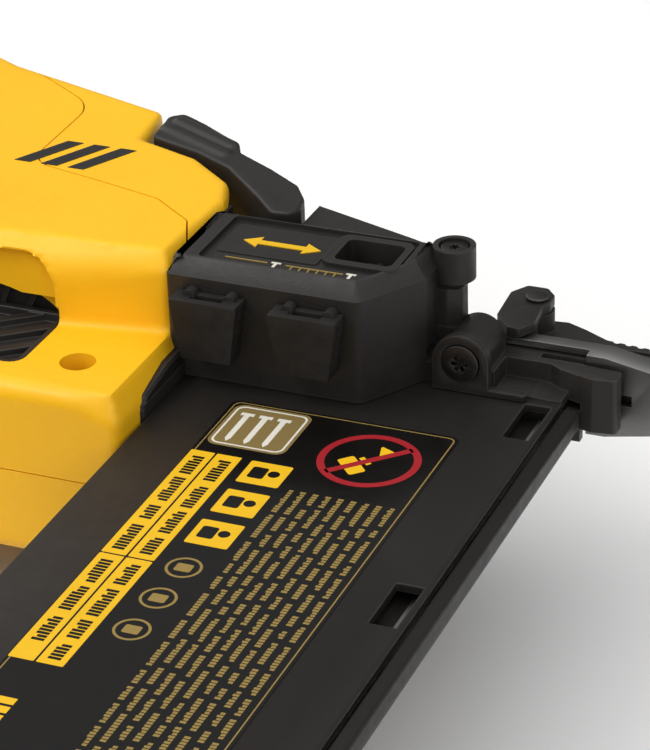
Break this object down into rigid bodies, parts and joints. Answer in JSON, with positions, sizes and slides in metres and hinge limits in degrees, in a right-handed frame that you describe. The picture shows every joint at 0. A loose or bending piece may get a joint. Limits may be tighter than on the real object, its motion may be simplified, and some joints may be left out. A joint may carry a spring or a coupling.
{
  "type": "cordless brad nailer",
  "caption": "Cordless brad nailer with angled-grip magazine, sliding battery pack, contact trip and jam-clearing nose door, lying on its side.",
  "frame": {"origin": "middle of the tool's base footprint, on the surface that its left side rests on", "axes": "+X along the drive direction towards the nose, +Y from the battery to the top of the tool, +Z out of its right side, up as it lies"},
  "size_m": [0.3, 0.307, 0.0825],
  "materials": {
    "yellow_plastic": "fine moulded texture, satin",
    "black_plastic": "moulded, satin",
    "black_rubber": "soft overmould",
    "black_painted_metal": "satin black coat",
    "steel": "ground and brushed",
    "dark_steel": "blackened",
    "frame_aluminium": "die cast",
    "copper_winding": "enamelled winding",
    "board_green": "coated circuit board",
    "light_lens": "clear lens",
    "cell_blue": "wrapped cells",
    "nail_steel": "galvanised"
  },
  "bodies": {
    "tool": {"housing_right": "yellow_plastic", "housing_left": "yellow_plastic", "front_cover": "yellow_plastic", "rear_cap": "black_plastic", "motor_cap_right": "black_plastic", "motor_cap_left": "black_plastic", "grip_overmold": "black_rubber", "side_bumpers": "black_rubber", "nose_casting": "black_painted_metal", "nose_guide": "dark_steel", "pivot_pins": "steel", "trip_spring": "steel", "depth_housing": "black_plastic", "lever_spring": "steel", "mechanism_frame": "frame_aluminium", "motor_stator": "copper_winding", "motor_bearings": "steel", "guide_rods": "steel", "return_springs": "steel", "bumpers": "black_rubber", "solenoid": "black_plastic", "trigger_switch": "black_plastic", "trigger_spring": "steel", "control_board": "board_green", "work_lights": "light_lens", "belt_hook": "dark_steel", "terminal_block": "black_plastic", "magazine_body": "black_painted_metal", "tip_rail": "dark_steel", "magazine_bracket": "steel", "nail_strip": "nail_steel", "nose_bolts": "dark_steel", "housing_screws": "dark_steel"},
    "door": {"nose_door": "black_painted_metal", "latch_pin": "steel"},
    "latch": {"jam_latch": "black_painted_metal"},
    "trip": {"contact_trip": "steel"},
    "wheel_depth": {"depth_wheel": "black_plastic"},
    "stop": {"depth_stop": "steel"},
    "tip_a": {"no_mar_tip_a": "black_rubber"},
    "tip_b": {"no_mar_tip_b": "black_rubber"},
    "lever": {"stall_lever": "black_plastic"},
    "driver": {"driver_body": "steel", "driver_blade": "steel"},
    "rotor": {"flywheel": "dark_steel", "motor_axle": "steel"},
    "arm": {"pinch_arm": "steel"},
    "roller": {"pinch_roller": "steel"},
    "plunger": {"solenoid_plunger": "steel"},
    "trigger_body": {"trigger": "black_plastic"},
    "lock": {"trigger_lock": "black_rubber"},
    "selector": {"mode_selector": "black_plastic"},
    "battery": {"battery_case": "black_plastic", "battery_cells": "cell_blue"},
    "release": {"battery_release": "black_plastic"},
    "cover": {"magazine_cover": "black_painted_metal"},
    "pusher_body": {"pusher": "steel", "pusher_spring": "steel"},
    "cover_catch": {"cover_latch": "black_plastic"}
  },
  "joints": [
    {"name": "nose_door_hinge", "type": "hinge", "parent": "tool", "child": "door", "pos_m": [0.135, 0.1009, 0.0435], "axis": [0, 0, -1], "range_deg": [0, 33]},
    {"name": "jam_latch_hinge", "type": "hinge", "parent": "door", "child": "latch", "pos_m": [0.112, 0.1071, 0.0435], "axis": [0, 0, 1], "range_deg": [0, 95]},
    {"name": "contact_trip_slide", "type": "slide", "parent": "tool", "child": "trip", "axis": [-1, 0, 0], "range_m": [0, 0.008], "stiffness_N_per_m": 900, "springref_m": -0.012, "deforming": ["trip_spring"]},
    {"name": "depth_wheel_turn", "type": "hinge", "parent": "tool", "child": "wheel_depth", "pos_m": [0.0875, 0.0845, 0.061], "axis": [0, 1, 0], "range_deg": [-60, 60]},
    {"name": "depth_stop_slide", "type": "slide", "parent": "tool", "child": "stop", "axis": [1, 0, 0], "range_m": [-0.001, 0.001]},
    {"name": "no_mar_tip_a_pull", "type": "slide", "parent": "tool", "child": "tip_a", "axis": [0, -1, 0], "range_m": [0, 0.012]},
    {"name": "no_mar_tip_b_pull", "type": "slide", "parent": "tool", "child": "tip_b", "axis": [0, -1, 0], "range_m": [0, 0.012]},
    {"name": "stall_lever_hinge", "type": "hinge", "parent": "tool", "child": "lever", "pos_m": [0.064, 0.101, 0.036], "axis": [0, 0, -1], "range_deg": [0, 35], "stiffness_Nm_per_rad": 0.25, "springref_deg": -34.38},
    {"name": "driver_slide", "type": "slide", "parent": "tool", "child": "driver", "axis": [1, 0, 0], "range_m": [0, 0.074], "stiffness_N_per_m": 120, "springref_m": -0.02, "deforming": ["return_springs"]},
    {"name": "flywheel_spin", "type": "hinge", "parent": "tool", "child": "rotor", "pos_m": [0.011, 0.0707, 0.036], "axis": [0, 0, -1], "continuous": true},
    {"name": "pinch_arm_hinge", "type": "hinge", "parent": "tool", "child": "arm", "pos_m": [-0.028, 0.1155, 0.0435], "axis": [0, 0, -1], "range_deg": [0, 0.9]},
    {"name": "pinch_roller_spin", "type": "hinge", "parent": "arm", "child": "roller", "pos_m": [0.011, 0.109, 0.0435], "axis": [0, 0, 1], "continuous": true},
    {"name": "solenoid_slide", "type": "slide", "parent": "tool", "child": "plunger", "axis": [1, 0, 0], "range_m": [0, 0.0008], "stiffness_N_per_m": 800, "springref_m": -0.002},
    {"name": "trigger_slide", "type": "slide", "parent": "tool", "child": "trigger_body", "axis": [-1, 0, 0], "range_m": [0, 0.006], "stiffness_N_per_m": 700, "springref_m": -0.006, "deforming": ["trigger_spring"]},
    {"name": "trigger_lock_slide", "type": "slide", "parent": "tool", "child": "lock", "axis": [0, 0, 1], "range_m": [0, 0.0044]},
    {"name": "mode_selector_turn", "type": "hinge", "parent": "tool", "child": "selector", "pos_m": [0.033, -0.0985, 0.056], "axis": [0, 0, 1], "range_deg": [0, 60]},
    {"name": "battery_slide", "type": "slide", "parent": "tool", "child": "battery", "axis": [-1, 0, 0], "range_m": [0, 0.085]},
    {"name": "battery_release_slide", "type": "slide", "parent": "battery", "child": "release", "axis": [0, -1, 0], "range_m": [0, 0.003], "stiffness_N_per_m": 900, "springref_m": -0.004},
    {"name": "magazine_cover_slide", "type": "slide", "parent": "tool", "child": "cover", "axis": [0, -1, 0], "range_m": [0, 0.1]},
    {"name": "pusher_slide", "type": "slide", "parent": "cover", "child": "pusher_body", "axis": [0, -1, 0], "range_m": [0, 0.092], "stiffness_N_per_m": 40, "springref_m": -0.1},
    {"name": "cover_latch_hinge", "type": "hinge", "parent": "cover", "child": "cover_catch", "pos_m": [0.089, -0.1288, 0.0378], "axis": [-1, 0, 0], "range_deg": [0, 15], "stiffness_Nm_per_rad": 0.05, "springref_deg": -17.19}
  ],
  "couplings": [
    {"joint": "depth_wheel_turn", "follows": "depth_stop_slide", "rad_per_m": 1042},
    {"joint": "pinch_arm_hinge", "follows": "solenoid_slide", "rad_per_m": 19.537}
  ]
}
